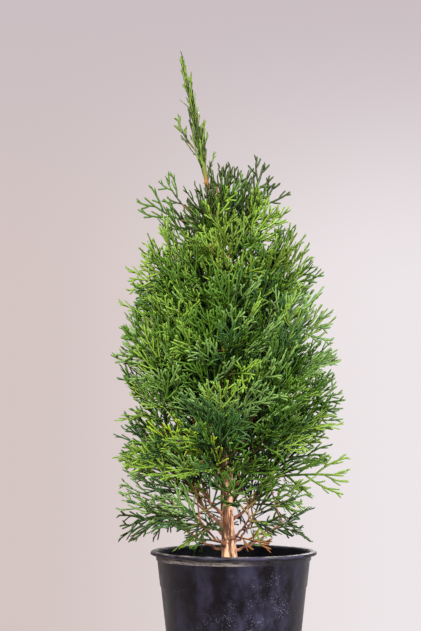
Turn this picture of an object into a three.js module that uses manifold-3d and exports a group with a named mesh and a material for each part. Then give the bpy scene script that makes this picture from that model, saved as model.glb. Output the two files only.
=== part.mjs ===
// A young emerald thuja (white cedar) in a round nursery pot, in millimetres, +Z up.
// The origin is the centre of the pot's flat underside. A slender trunk leans towards -X and
// runs whole up through the crown. Boughs rise from it in tiers, and each carries one mass of
// flat, fern-like sprays. Every mass keeps to its own cell of the crown.
import * as THREE from "three";
import { mergeVertices } from "three/addons/utils/BufferGeometryUtils.js";
import Module from "manifold-3d";

const wasm = await Module();
wasm.setup();

// ---------------------------------------------------------------- driving dimensions

const CLEARANCE = 0.3; // between pieces that rest on each other

const POT = {
  height: 185,
  rimRadius: 112.5, // outside of the rolled lip
  lipHeight: 6,
  lipOverhang: 7.2,
  collarHeight: 14, // the band under the lip
  collarStep: 2.2, // how far the wall steps in under the collar
  stackStep: 1.2, // the second small step, where stacked pots wedge
  stackHeight: 139,
  baseRadius: 82,
  wall: 2.4,
  floor: 3,
  sides: 36,
  drains: 8, // arched drain holes at the foot of the wall
  drainRadius: 7,
};

const SOIL = { top: 163, dome: 3, gap: 0.5 };

const POT_ROOM = { aboveRim: 4, inside: 80, aboveSoil: 8 }; // what sprays keep to over the pot

// The trunk's centreline: height, x and y, joined by a smooth curve. It starts just under the
// ground, where it is cut flat, and ends at the foot of the leader's last shoot.
const TRUNK_LINE = [
  [155, -4, 0],
  [245, -9, 1],
  [340, -8, -2],
  [500, -13, 2],
  [655, -31, 1],
  [782, -52, -1],
];

const TRUNK = {
  baseRadius: 9.2,
  tipRadius: 1.5,
  taper: 0.85, // 1 is a straight cone
  flare: 4.5, // added to the radius at the ground
  flareHeight: 16,
  sides: 10,
  steps: 17,
};

const CROWN = {
  radius: 146,
  widest: 385, // height where the crown is widest
  foot: 190,
  footShare: 0.2, // how much narrower the crown is at its foot
  top: 726,
  topPower: 1.7,
  lean: [-12, -18], // x of the crown's axis at its foot and its top
};

// The tiers from the lowest up. attach is the height on the trunk of the lowest bough and step
// what each next one adds. centre is the height of the masses, stagger how far every other one
// stands above or below it, slope the bough's rise in degrees, turn the first bough's direction
// and rise the range of the sprays' slopes. reach is each mass's share of the crown's radius.
// A tier without boughs grows its masses straight from the trunk.
const TIERS = [
  { attach: 184, step: 4, centre: 243, stagger: 8, count: 6, turn: 176, slope: 22,
    rise: [-30, 42], reach: [1.1, 1, 1, 0.92, 0.98, 1] },
  { attach: 214, step: 8, centre: 338, stagger: 14, count: 7, turn: 160, slope: 44,
    rise: [-10, 62], reach: [1.04, 1.04, 1, 1, 1.05, 1, 1] },
  { attach: 306, step: 9, centre: 448, stagger: 18, count: 6, turn: 148, slope: 54,
    rise: [0, 68], reach: [1.04, 1.04, 1, 1, 1.04, 1] },
  { attach: 410, step: 9, centre: 552, stagger: 16, count: 5, turn: 196, slope: 58,
    rise: [8, 74], reach: [1, 1, 1, 1, 1] },
  { attach: 540, step: 16, centre: 650, stagger: 12, count: 4, turn: 172, slope: 62,
    rise: [22, 84], reach: [1.2, 1, 1, 1], bough: false },
];

const BOUGH = {
  baseRadius: 3.6,
  tipRadius: 2,
  thinning: 0.1, // each tier's boughs are this much thinner than the last
  end: 0.34, // share of the crown's radius where it enters its mass
  sag: 16, // degrees by which it starts flatter than it ends
  sides: 5,
  steps: 4,
};

const STEM = { radius: 2.5, tipRadius: 2.1, end: 0.5, lift: 22, sides: 3, steps: 2 };

const SPRAY = {
  count: 5, // sprays in each mass
  longest: 120,
  shortest: 52,
  shrink: 0.87, // what a spray that doesn't fit is shortened by
  widest: 36, // most that half the width can be
  width: 0.36, // half the width, as a share of the length
  stalk: 0.24, // share of the length that is bare stalk
  shoots: 0.86, // share of the rest that bears side shoots
  neck: 0.85, // share of the length where the last notch is
  stalkWidth: 1.5, // half of it
  rootWidth: 0.7, // half of it where the stalk ends, at the core of its stem
  pairs: 3, // pairs of side shoots cut into the blade
  rib: 0.24, // how far the notches between the side shoots stop short of the middle
  lean: 0.85, // how far a side shoot runs forward for each millimetre it reaches out
  thickness: 1.7,
  spread: 150, // widest angle between two sprays of a mass, seen from above
  rolls: [0, 180], // range of turns about the spray's own axis
  candidates: 160, // tries for each spray, of which the one in the emptiest place stays
  margin: 1.2, // kept from the cell's walls, the blade's thickness included
  limbMargin: 1, // kept from the limbs, besides the blade's own half thickness
  facing: 84, // roll of a spray that faces the front
  skew: 0.4, // how far the right side shoots are ahead of the left ones
  apart: 60, // sprays this far apart don't crowd each other
  preferLong: 0.3, // what a spray's length counts for against its distance from others
  preferOuter: 30, // what reaching the crown's surface counts for
};

// The bare leader above the crown, with narrow sprays that hug it. Each shoot leaves the trunk
// at attach and its sprays end at the points of tips.
const LEADER = {
  width: 0.17,
  roll: 90, // the first spray of each shoot faces the front
  turn: 50, // what each next one turns by
  tip: [[-73, 0, 875], [-59, 4, 851], [-75, -4, 812]],
  shoots: [
    { name: "leader_left", attach: 716, tips: [[-79, -2, 784], [-62, -13, 796], [-68, 9, 756]] },
    { name: "leader_right", attach: 690, tips: [[-42, 2, 780], [-46, -14, 752], [-25, 6, 736]] },
  ],
};

// Sprays that stand out of the crown, each from a share of its mass's stem to its tip.
const SINGLES = [
  { mass: "sprays_5_1", share: 0.8, tip: [-126, -10, 664], width: 0.3 },
  { mass: "sprays_5_1", share: 0.94, tip: [-98, -2, 695], width: 0.28 },
  { mass: "sprays_5_3", share: 0.94, tip: [44, -8, 717], width: 0.28 },
  { mass: "sprays_5_3", share: 0.6, tip: [66, -6, 686], width: 0.3 },
  { mass: "sprays_4_1", share: 0.9, tip: [-142, -22, 562], width: 0.34 },
  { mass: "sprays_1_1", share: 0.7, tip: [-149, -16, 207], width: 0.3 },
  { mass: "sprays_2_5", share: 0.2, tip: [150, -8, 296], width: 0.26 },
];

const COLOURS = {
  pot: 0x24232a,
  soil: 0x3b2b20,
  bark: 0x8a6547,
  sprays: [0x2f5a1e, 0x3f7322, 0x4f862a, 0x5f9432],
};

// ---------------------------------------------------------------- small helpers

const radians = THREE.MathUtils.degToRad;
const mix = THREE.MathUtils.lerp;

function randomFrom(seed) {
  let state = seed >>> 0;
  return () => {
    state = (state + 0x6d2b79f5) >>> 0;
    let t = state;
    t = Math.imul(t ^ (t >>> 15), t | 1);
    t ^= t + Math.imul(t ^ (t >>> 7), t | 61);
    return ((t ^ (t >>> 14)) >>> 0) / 4294967296;
  };
}

function direction(turn, rise) {
  return new THREE.Vector3(
    Math.cos(turn) * Math.cos(rise),
    Math.sin(turn) * Math.cos(rise),
    Math.sin(rise),
  );
}

function solidOf(geometry) {
  const bare = geometry.clone();
  bare.deleteAttribute("normal");
  bare.deleteAttribute("uv");
  const merged = mergeVertices(bare, 1e-4);
  return new wasm.Manifold(
    new wasm.Mesh({
      numProp: 3,
      vertProperties: new Float32Array(merged.attributes.position.array),
      triVerts: new Uint32Array(merged.index.array),
    }),
  );
}

function geometryOf(solid) {
  const mesh = solid.getMesh();
  const points = new Float32Array(mesh.numVert * 3);
  for (let i = 0; i < mesh.numVert; i++)
    points.set(mesh.vertProperties.subarray(i * mesh.numProp, i * mesh.numProp + 3), i * 3);
  const geometry = new THREE.BufferGeometry();
  geometry.setAttribute("position", new THREE.BufferAttribute(points, 3));
  geometry.setIndex(new THREE.BufferAttribute(new Uint32Array(mesh.triVerts), 1));
  geometry.computeVertexNormals();
  return geometry;
}

// The largest connected body of a solid, so that no loose scrap stays.
function largestBody(solid) {
  return solid.decompose().reduce((a, b) => (b.volume() > a.volume() ? b : a));
}

// ---------------------------------------------------------------- limbs

// A cylinder bent along a curve, with its own radius at each step and flat ends.
function limb(curve, radiusAt, sides, steps) {
  const geometry = new THREE.CylinderGeometry(1, 1, 1, sides, steps);
  const frames = curve.computeFrenetFrames(steps, false);
  const position = geometry.attributes.position;
  for (let i = 0; i < position.count; i++) {
    const k = Math.round((position.getY(i) + 0.5) * steps);
    const radius = radiusAt(k / steps);
    const point = curve
      .getPoint(k / steps)
      .addScaledVector(frames.normals[k], position.getX(i) * radius)
      .addScaledVector(frames.binormals[k], -position.getZ(i) * radius);
    position.setXYZ(i, point.x, point.y, point.z);
  }
  return solidOf(geometry);
}

// Two straight lengths that meet at a bend.
class BentLine extends THREE.Curve {
  constructor(start, bend, end) {
    super();
    this.points = [start, bend, end];
  }
  getPoint(t, target = new THREE.Vector3()) {
    const k = t < 0.5 ? 0 : 1;
    return target.lerpVectors(this.points[k], this.points[k + 1], 2 * t - k);
  }
}

// The trunk's centre at a height: a cubic through the named points of its line.
function trunkAt(height) {
  const line = TRUNK_LINE;
  const last = line.length - 2;
  let k = 0;
  while (k < last && height > line[k + 1][0]) k++;
  const at = (i, axis) => line[THREE.MathUtils.clamp(i, 0, last + 1)][axis];
  const span = at(k + 1, 0) - at(k, 0);
  const t = (height - at(k, 0)) / span;
  const slope = (i, axis) =>
    ((at(i + 1, axis) - at(i - 1, axis)) / (at(i + 1, 0) - at(i - 1, 0))) * span;
  const along = (axis) =>
    at(k, axis) * (1 + 2 * t) * (1 - t) ** 2 +
    at(k + 1, axis) * t * t * (3 - 2 * t) +
    slope(k, axis) * t * (1 - t) ** 2 -
    slope(k + 1, axis) * t * t * (1 - t);
  return new THREE.Vector3(along(1), along(2), height);
}

class TrunkCurve extends THREE.Curve {
  getPoint(t, target = new THREE.Vector3()) {
    return target.copy(trunkAt(mix(TRUNK_LINE[0][0], TRUNK_LINE.at(-1)[0], t)));
  }
}

function trunkRadius(height) {
  const share = (height - TRUNK_LINE[0][0]) / (TRUNK_LINE.at(-1)[0] - TRUNK_LINE[0][0]);
  const bare = mix(TRUNK.tipRadius, TRUNK.baseRadius, (1 - share) ** TRUNK.taper);
  return bare + TRUNK.flare * Math.exp((SOIL.top - height) / TRUNK.flareHeight);
}

function trunkSolid(extra) {
  const curve = new TrunkCurve();
  const radiusAt = (t) => trunkRadius(curve.getPoint(t).z) + extra;
  const whole = limb(curve, radiusAt, TRUNK.sides, TRUNK.steps);
  const ground = new THREE.BoxGeometry(100, 100, 60);
  ground.translate(0, 0, SOIL.top + SOIL.dome + CLEARANCE - 30);
  return extra ? whole : whole.subtract(solidOf(ground));
}

// ---------------------------------------------------------------- the crown's shape

function crownRadius(height) {
  if (height >= CROWN.top) return 0;
  if (height < CROWN.widest) {
    const down = (CROWN.widest - height) / (CROWN.widest - CROWN.foot);
    return CROWN.radius * (1 - CROWN.footShare * down * down);
  }
  const up = (height - CROWN.widest) / (CROWN.top - CROWN.widest);
  return CROWN.radius * Math.sqrt(1 - up ** CROWN.topPower);
}

function crownAxis(height) {
  const share = (height - CROWN.foot) / (CROWN.top - CROWN.foot);
  return mix(CROWN.lean[0], CROWN.lean[1], share);
}

// A point at a share of the crown's radius from its axis.
function crownPoint(turn, share, height) {
  const radius = crownRadius(height) * share;
  return new THREE.Vector3(
    crownAxis(height) + Math.cos(turn) * radius,
    Math.sin(turn) * radius,
    height,
  );
}

// ---------------------------------------------------------------- the plan of boughs and masses

function planBough(tier, level, k) {
  const turn = radians(tier.turn + (360 * k) / tier.count);
  const start = trunkAt(tier.attach + tier.step * ((k * 2) % tier.count));
  const out = crownRadius(tier.centre) * BOUGH.end;
  const slope = radians(tier.slope);
  const end = start.clone().addScaledVector(direction(turn, slope), out / Math.cos(slope));
  const bend = start
    .clone()
    .addScaledVector(direction(turn, slope - radians(BOUGH.sag)), start.distanceTo(end) / 2);
  const thin = 1 - BOUGH.thinning * level;
  return {
    curve: new THREE.QuadraticBezierCurve3(start, bend, end),
    radiusAt: (t) => thin * mix(BOUGH.baseRadius, BOUGH.tipRadius, t),
  };
}

function planMass(tier, level, k) {
  const bough = planBough(tier, level, k);
  const hasBough = tier.bough !== false;
  const turn = radians(tier.turn + (360 * k) / tier.count);
  const centre = tier.centre + tier.stagger * (k % 2 ? 1 : -1);
  const along = bough.curve.getTangent(1);
  const start = bough.curve.getPoint(hasBough ? 1 : 0);
  if (hasBough) start.addScaledVector(along, CLEARANCE);
  const end = crownPoint(turn, STEM.end * tier.reach[k], centre + STEM.lift);
  const bend = start.clone().addScaledVector(along, start.distanceTo(end) * 0.45);
  return {
    name: `sprays_${level + 1}_${k + 1}`,
    boughName: `bough_${level + 1}_${k + 1}`,
    bough: hasBough ? bough : null,
    stem: new BentLine(start, bend, end),
    site: crownPoint(turn, 0.6, centre),
    turn,
    rise: tier.rise.map(radians),
    reach: tier.reach[k],
    shade: level / (TIERS.length - 1),
    seed: 101 + 17 * level + 7 * k,
    placed: [],
  };
}

const vector = ([x, y, z]) => new THREE.Vector3(x, y, z);

function planLeader() {
  const top = TRUNK_LINE.at(-1)[0];
  const shoots = [{ name: "leader_tip", attach: top, tips: LEADER.tip }, ...LEADER.shoots];
  return shoots.map(({ name, attach, tips }) => {
    const start = trunkAt(attach);
    const tip = vector(tips[0]);
    if (attach === top)
      start.addScaledVector(tip.clone().sub(start).normalize(), CLEARANCE);
    const end = start.clone().lerp(tip, 0.4);
    return {
      name,
      stem: new THREE.LineCurve3(start, end),
      site: start.clone().lerp(tip, 0.6),
      tips: tips.map(vector),
      bough: null,
      shade: 1,
      placed: [],
    };
  });
}

const masses = [
  ...TIERS.flatMap((tier, level) =>
    Array.from({ length: tier.count }, (_, k) => planMass(tier, level, k)),
  ),
  ...planLeader(),
];

// Each mass's cell: the walls halfway to the sites around it. Cells are taller than wide.
const CELL_SQUASH = 0.6;

for (const mass of masses)
  mass.walls = masses
    .filter((other) => other !== mass)
    .map((other) => {
      const normal = other.site.clone().sub(mass.site);
      normal.z *= CELL_SQUASH;
      normal.normalize();
      const middle = other.site.clone().add(mass.site).multiplyScalar(0.5);
      return new THREE.Plane(normal, -normal.dot(middle));
    });

const inCell = (point, mass) =>
  mass.walls.every((wall) => wall.distanceToPoint(point) < -SPRAY.margin);

const inCrown = (point, mass) =>
  Math.hypot(point.x - crownAxis(point.z), point.y) <= crownRadius(point.z) * mass.reach;

const aboveThePot = (point) =>
  point.z > POT.height + POT_ROOM.aboveRim ||
  (Math.hypot(point.x, point.y) < POT_ROOM.inside && point.z > SOIL.top + POT_ROOM.aboveSoil);

// Points along every limb, for sprays to keep clear of.
const limbPoints = [];
for (let height = SOIL.top; height <= TRUNK_LINE.at(-1)[0] - 2; height += 4)
  limbPoints.push({ point: trunkAt(height), radius: trunkRadius(height) });
for (const { bough } of masses)
  for (let t = 0; bough && t <= 0.97; t += 0.04)
    limbPoints.push({ point: bough.curve.getPoint(t), radius: bough.radiusAt(t) });

// ---------------------------------------------------------------- sprays

// Half of a spray's outline: its edge from the stalk to the tip, along +Y, with a side shoot
// for each pair. The stalk widens into a rib that narrows towards the tip.
function sprayEdge(length, halfWidth, sign, shift) {
  const stalk = length * SPRAY.stalk;
  const spacing = ((length - stalk) * SPRAY.shoots) / SPRAY.pairs;
  const points = [[sign * SPRAY.rootWidth, 0]];
  for (let k = 0; k < SPRAY.pairs; k++) {
    const at = stalk + (k - 0.5 + shift) * spacing;
    const swell = Math.sin(Math.PI * (0.3 + (0.6 * (k + shift)) / SPRAY.pairs)) ** 0.6;
    const reach = halfWidth * swell;
    points.push([sign * (k ? reach * SPRAY.rib : SPRAY.stalkWidth), at]);
    points.push([sign * reach, Math.min(at + reach * SPRAY.lean + spacing * 0.5, length)]);
  }
  points.push([(sign * halfWidth * SPRAY.rib) / 2, length * SPRAY.neck]);
  return points;
}

// A spray's place: its frame and its outline, wherever it may stand.
function placeSpray(root, heading, length, roll, width) {
  const across = new THREE.Vector3(0, 0, 1).cross(heading).normalize();
  across.applyAxisAngle(heading, roll);
  const halfWidth = Math.min(length * width, SPRAY.widest);
  const right = sprayEdge(length, halfWidth, 1, SPRAY.skew);
  const left = sprayEdge(length, halfWidth, -1, 0).reverse();
  const outline = [...right, [0, length], ...left].map(([x, y]) => new THREE.Vector2(x, y));
  const frame = new THREE.Matrix4()
    .makeBasis(across, heading, across.clone().cross(heading))
    .setPosition(root);
  return { root, heading, length, halfWidth, outline, frame };
}

function clearOfLimbs({ root, length, halfWidth, frame }) {
  const inverse = frame.clone().invert();
  return limbPoints.every(({ point, radius }) => {
    const local = point.clone().applyMatrix4(inverse);
    const x = Math.max(0, Math.abs(local.x) - halfWidth);
    const y = local.y - THREE.MathUtils.clamp(local.y, 0, length);
    return Math.hypot(x, y, local.z) > radius + SPRAY.thickness / 2 + SPRAY.limbMargin;
  });
}

// The lines that a spray is drawn along: its rib and its side shoots.
function bones({ outline, frame, length }) {
  const at = ({ x, y }) => new THREE.Vector3(x, y, 0).applyMatrix4(frame);
  const lines = [[at({ x: 0, y: length * 0.12 }), at({ x: 0, y: length })]];
  for (const tip of outline)
    if (Math.abs(tip.x) > SPRAY.stalkWidth * 3)
      lines.push([at({ x: 0, y: tip.y - Math.abs(tip.x) * SPRAY.lean }), at(tip)]);
  return lines;
}

// True if one of the first spray's lines goes through the second's blade.
function pierces(first, second) {
  const inverse = second.frame.clone().invert();
  return bones(first).some(([from, to]) => {
    const a = from.clone().applyMatrix4(inverse);
    const b = to.clone().applyMatrix4(inverse);
    if (a.z * b.z > 0) return false;
    const { x, y } = a.lerp(b, a.z / (a.z - b.z));
    return Math.abs(x) < second.halfWidth && y > second.length * 0.1 && y < second.length;
  });
}

function fits(place, mass) {
  const point = new THREE.Vector3();
  return (
    place.outline.slice(2, -2).every(({ x, y }) => {
      point.set(x, y, 0).applyMatrix4(place.frame);
      return inCell(point, mass) && inCrown(point, mass) && aboveThePot(point);
    }) &&
    clearOfLimbs(place) &&
    !mass.placed.some((other) => pierces(place, other) || pierces(other, place))
  );
}

// The points of a spray that others keep away from.
const spreadPoints = ({ root, heading, length }) =>
  [0.5, 0.95].map((share) => root.clone().addScaledVector(heading, length * share));

const placedPoints = [];

// The best of several random places for one more spray: the longest in the emptiest spot.
function chooseSpray(mass, random) {
  let best = null;
  for (let k = 0; k < SPRAY.candidates; k++) {
    const root = mass.stem.getPoint(mix(0.06, 0.94, random()));
    const turn = mass.turn + radians(SPRAY.spread) * (random() - 0.5);
    const heading = direction(turn, mix(mass.rise[0], mass.rise[1], random()));
    const roll = radians(mix(SPRAY.rolls[0], SPRAY.rolls[1], random()));
    let length = SPRAY.longest;
    let place = null;
    while (length > SPRAY.shortest) {
      place = placeSpray(root, heading, length, roll, SPRAY.width);
      if (fits(place, mass)) break;
      place = null;
      length *= SPRAY.shrink;
    }
    if (!place) continue;
    const ends = spreadPoints(place);
    let apart = SPRAY.apart;
    for (const other of placedPoints)
      for (const end of ends) apart = Math.min(apart, end.distanceTo(other));
    const tip = ends[1];
    const out = Math.hypot(tip.x - crownAxis(tip.z), tip.y) / crownRadius(tip.z);
    place.score = apart + SPRAY.preferLong * length + SPRAY.preferOuter * out;
    if (!best || place.score > best.score) best = place;
  }
  return best;
}

function planSprays(mass) {
  for (const { mass: name, share, tip, width } of SINGLES) {
    if (name !== mass.name) continue;
    const root = mass.stem.getPoint(share);
    const away = vector(tip).sub(root);
    mass.placed.push(
      placeSpray(root, away.clone().normalize(), away.length(), radians(SPRAY.facing), width),
    );
  }
  for (const place of mass.placed) placedPoints.push(...spreadPoints(place));
  if (mass.tips) {
    mass.tips.forEach((tip, k) => {
      const root = mass.stem.getPoint(0.94 - (0.8 * k) / mass.tips.length);
      const heading = tip.clone().sub(root).normalize();
      const length = root.distanceTo(tip);
      const roll = radians(LEADER.roll + LEADER.turn * k);
      mass.placed.push(placeSpray(root, heading, length, roll, LEADER.width));
    });
    return;
  }
  const random = randomFrom(mass.seed);
  for (let k = 0; k < SPRAY.count; k++) {
    const place = chooseSpray(mass, random);
    if (!place) continue;
    mass.placed.push(place);
    placedPoints.push(...spreadPoints(place));
  }
}

function blade({ outline, frame }) {
  const geometry = new THREE.ExtrudeGeometry(new THREE.Shape(outline), {
    depth: SPRAY.thickness,
    bevelEnabled: false,
  });
  geometry.translate(0, 0, -SPRAY.thickness / 2);
  return solidOf(geometry.applyMatrix4(frame));
}

function growMass(mass, trunkRoom) {
  const thin = (t) => mix(STEM.radius, STEM.tipRadius, t);
  let grown = limb(mass.stem, thin, STEM.sides, STEM.steps);
  for (const place of mass.placed) grown = grown.add(blade(place));
  if (!mass.bough) grown = grown.subtract(trunkRoom);
  return largestBody(grown).simplify(0.02);
}

// ---------------------------------------------------------------- pot and soil

function potProfile() {
  const lip = POT.rimRadius;
  const collar = lip - POT.lipOverhang;
  const underLip = POT.height - POT.lipHeight;
  const underCollar = underLip - POT.collarHeight;
  const wallTop = collar - POT.collarStep;
  const slope = (wallTop - POT.stackStep - POT.baseRadius) / underCollar;
  const atStack = wallTop - (underCollar - POT.stackHeight) * slope;
  const inside = (z) => POT.baseRadius - POT.wall + z * slope;
  return [
    [0, 0],
    [POT.baseRadius - 2, 0],
    [POT.baseRadius, 2],
    [atStack - POT.stackStep, POT.stackHeight - 2],
    [atStack, POT.stackHeight],
    [wallTop, underCollar],
    [collar - 0.6, underCollar + 1.5],
    [collar, underLip],
    [lip - 1, underLip + 0.6],
    [lip, underLip + 2.6],
    [lip - 0.6, POT.height - 1.2],
    [lip - 3, POT.height],
    [collar - 0.5, POT.height - 0.4],
    [collar - POT.wall, POT.height - 3],
    [inside(underCollar), underCollar - 3],
    [inside(POT.floor), POT.floor],
    [0, POT.floor],
  ];
}

function lathe(profile, sides) {
  const geometry = new THREE.LatheGeometry(
    profile.map(([r, z]) => new THREE.Vector2(r, z)),
    sides,
  );
  geometry.rotateX(Math.PI / 2);
  return solidOf(geometry);
}

function potSolid() {
  let pot = lathe(potProfile(), POT.sides);
  for (let k = 0; k < POT.drains; k++) {
    const hole = new THREE.CylinderGeometry(POT.drainRadius, POT.drainRadius, 24, 10);
    hole.rotateX(Math.PI / 2);
    hole.translate(0, POT.baseRadius, 0);
    hole.rotateZ((2 * Math.PI * (k + 0.5)) / POT.drains);
    pot = pot.subtract(solidOf(hole));
  }
  return pot;
}

function soilSolid() {
  const [, high, low] = potProfile().slice(-4);
  const radiusAt = (z) =>
    THREE.MathUtils.mapLinear(z, low[1], high[1], low[0], high[0]) - SOIL.gap;
  const bottom = POT.floor + SOIL.gap;
  return lathe(
    [
      [0, bottom],
      [radiusAt(bottom), bottom],
      [radiusAt(SOIL.top - 3), SOIL.top - 3],
      [60, SOIL.top + SOIL.dome * 0.6],
      [30, SOIL.top + SOIL.dome],
      [0, SOIL.top + SOIL.dome],
    ],
    POT.sides,
  );
}

// ---------------------------------------------------------------- the plant

const plant = new THREE.Group();

function addNode(name, solid, colour, roughness) {
  const material = new THREE.MeshStandardMaterial({ color: colour, roughness, metalness: 0 });
  const mesh = new THREE.Mesh(geometryOf(solid), material);
  mesh.name = name;
  plant.add(mesh);
}

addNode("pot", potSolid(), COLOURS.pot, 0.55);
addNode("soil", soilSolid(), COLOURS.soil, 0.95);
addNode("trunk", trunkSolid(0), COLOURS.bark, 0.9);

const trunkRoom = trunkSolid(CLEARANCE);

for (const { bough, boughName } of masses) {
  if (!bough) continue;
  const solid = limb(bough.curve, bough.radiusAt, BOUGH.sides, BOUGH.steps);
  addNode(boughName, largestBody(solid.subtract(trunkRoom)), COLOURS.bark, 0.9);
}

masses.forEach(planSprays);

for (const mass of masses) {
  const shade = Math.round(mass.shade * (COLOURS.sprays.length - 1));
  addNode(mass.name, growMass(mass, trunkRoom), COLOURS.sprays[shade], 0.7);
}

export default plant;
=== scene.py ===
"""The looks of a young emerald thuja in a black nursery pot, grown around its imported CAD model.

The plan of trunk, boughs, masses and sprays is the CAD source's own rule, in millimetres, with
the same seeds. Here each mass gets more sprays, and each spray is carried down to its scale-leaved
branchlets. The meshes are scaled to metres when they become pieces.
"""

import math
from types import SimpleNamespace as Values

import bpy
import numpy as np
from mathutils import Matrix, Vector, noise


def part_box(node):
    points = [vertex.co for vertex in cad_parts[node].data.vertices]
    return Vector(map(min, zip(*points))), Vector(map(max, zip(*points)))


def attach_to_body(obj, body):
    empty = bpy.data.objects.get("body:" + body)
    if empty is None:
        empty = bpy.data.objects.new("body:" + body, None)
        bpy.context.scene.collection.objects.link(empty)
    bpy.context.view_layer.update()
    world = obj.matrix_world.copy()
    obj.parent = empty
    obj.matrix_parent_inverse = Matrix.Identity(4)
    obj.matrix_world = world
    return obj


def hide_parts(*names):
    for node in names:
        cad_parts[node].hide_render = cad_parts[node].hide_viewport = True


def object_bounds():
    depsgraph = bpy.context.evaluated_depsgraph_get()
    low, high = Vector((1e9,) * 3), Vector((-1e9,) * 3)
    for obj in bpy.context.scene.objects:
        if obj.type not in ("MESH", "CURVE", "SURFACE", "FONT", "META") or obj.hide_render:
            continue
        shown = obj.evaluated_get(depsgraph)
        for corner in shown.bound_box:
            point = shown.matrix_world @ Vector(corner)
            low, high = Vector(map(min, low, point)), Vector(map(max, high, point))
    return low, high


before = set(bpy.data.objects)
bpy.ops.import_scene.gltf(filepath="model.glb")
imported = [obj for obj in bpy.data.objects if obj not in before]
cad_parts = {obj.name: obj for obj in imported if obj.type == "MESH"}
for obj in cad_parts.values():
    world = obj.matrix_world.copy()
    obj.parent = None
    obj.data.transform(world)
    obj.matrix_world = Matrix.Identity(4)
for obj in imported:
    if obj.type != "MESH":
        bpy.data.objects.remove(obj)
cad_bounds = [list(corner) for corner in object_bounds()]

MM = 0.001
UP = np.array([0.0, 0.0, 1.0])

# ---- the plan, as in the CAD source

CLEARANCE = 0.3
POT_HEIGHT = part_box("pot")[1].z / MM
RIM_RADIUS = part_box("pot")[1].x / MM
SOIL_TOP = 163.0
SOIL_DOME = 3.0
POT_ROOM = Values(above_rim=4, inside=80, above_soil=8)

# Points of the trunk's line: height, then x and y.
TRUNK_LINE = np.array([
    [155, -4, 0], [245, -9, 1], [340, -8, -2], [500, -13, 2], [655, -31, 1], [782, -52, -1],
], float)
TRUNK = Values(base_radius=9.2, tip_radius=1.5, taper=0.85, flare=4.5, flare_height=16)

CROWN = Values(
    radius=146, widest=385, foot=190, foot_share=0.2, top=726, top_power=1.7, lean=(-12, -18)
)

# From the lowest up: where boughs leave the trunk, the masses' heights, and the angles of both.
TIERS = [
    dict(attach=184, step=4, centre=243, stagger=8, count=6, turn=176, slope=22,
         rise=(-30, 42), reach=(1.1, 1, 1, 0.92, 0.98, 1)),
    dict(attach=214, step=8, centre=338, stagger=14, count=7, turn=160, slope=44,
         rise=(-10, 62), reach=(1.04, 1.04, 1, 1, 1.05, 1, 1)),
    dict(attach=306, step=9, centre=448, stagger=18, count=6, turn=148, slope=54,
         rise=(0, 68), reach=(1.04, 1.04, 1, 1, 1.04, 1)),
    dict(attach=410, step=9, centre=552, stagger=16, count=5, turn=196, slope=58,
         rise=(8, 74), reach=(1, 1, 1, 1, 1)),
    dict(attach=540, step=16, centre=650, stagger=12, count=4, turn=172, slope=62,
         rise=(22, 84), reach=(1.2, 1, 1, 1), bough=False),
]
BOUGH = Values(base_radius=3.6, tip_radius=2, thinning=0.1, end=0.34, sag=16)
STEM = Values(end=0.5, lift=22, bend=0.45, sprays=(0.06, 0.94))
# The CAD's sprays: their sizes, the teeth of their blades, and how each one's place is chosen.
SPRAY = Values(
    count=5, longest=120, shortest=52, shrink=0.87, widest=36, width=0.36, stalk=0.24,
    shoots=0.86, neck=0.85, stalk_width=1.5, root_width=0.7, pairs=3, rib=0.24, lean=0.85,
    thickness=1.7, spread=150, rolls=(0, 180), candidates=160, margin=1.2, limb_margin=1,
    facing=84, skew=0.4, apart=60, prefer_long=0.3, prefer_outer=30,
)
LEADER = Values(
    width=0.17, roll=90, turn=50, end=0.4, sprays=(0.8, 0.94),
    tip=((-73, 0, 875), (-59, 4, 851), (-75, -4, 812)),
    shoots=(
        ("leader_left", 716, ((-79, -2, 784), (-62, -13, 796), (-68, 9, 756))),
        ("leader_right", 690, ((-42, 2, 780), (-46, -14, 752), (-25, 6, 736))),
    ),
)

# Sprays of the CAD listed one by one: the mass, the share of its stem, the tip and the width.
SINGLES = (
    ("sprays_5_1", 0.8, (-126, -10, 664), 0.3),
    ("sprays_5_1", 0.94, (-98, -2, 695), 0.28),
    ("sprays_5_3", 0.94, (44, -8, 717), 0.28),
    ("sprays_5_3", 0.6, (66, -6, 686), 0.3),
    ("sprays_4_1", 0.9, (-142, -22, 562), 0.34),
    ("sprays_1_1", 0.7, (-149, -16, 207), 0.3),
    ("sprays_2_5", 0.2, (150, -8, 296), 0.26),
)
CELL = Values(site=0.6, squash=0.6)


def random_from(seed):
    """The CAD source's random numbers, so that both grow the same sprays."""
    state = seed & 0xFFFFFFFF

    def draw():
        nonlocal state
        state = (state + 0x6D2B79F5) & 0xFFFFFFFF
        t = ((state ^ (state >> 15)) * (state | 1)) & 0xFFFFFFFF
        t ^= (t + ((t ^ (t >> 7)) * (t | 61))) & 0xFFFFFFFF
        return (t ^ (t >> 14)) / 4294967296

    return draw


def mix(a, b, t):
    return a + (b - a) * t


def unit(v):
    return v / np.linalg.norm(v, axis=-1, keepdims=True)


def direction(turn, rise):
    turn, rise = np.broadcast_arrays(turn, rise)
    return np.stack([np.cos(turn) * np.cos(rise), np.sin(turn) * np.cos(rise), np.sin(rise)], -1)


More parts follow.
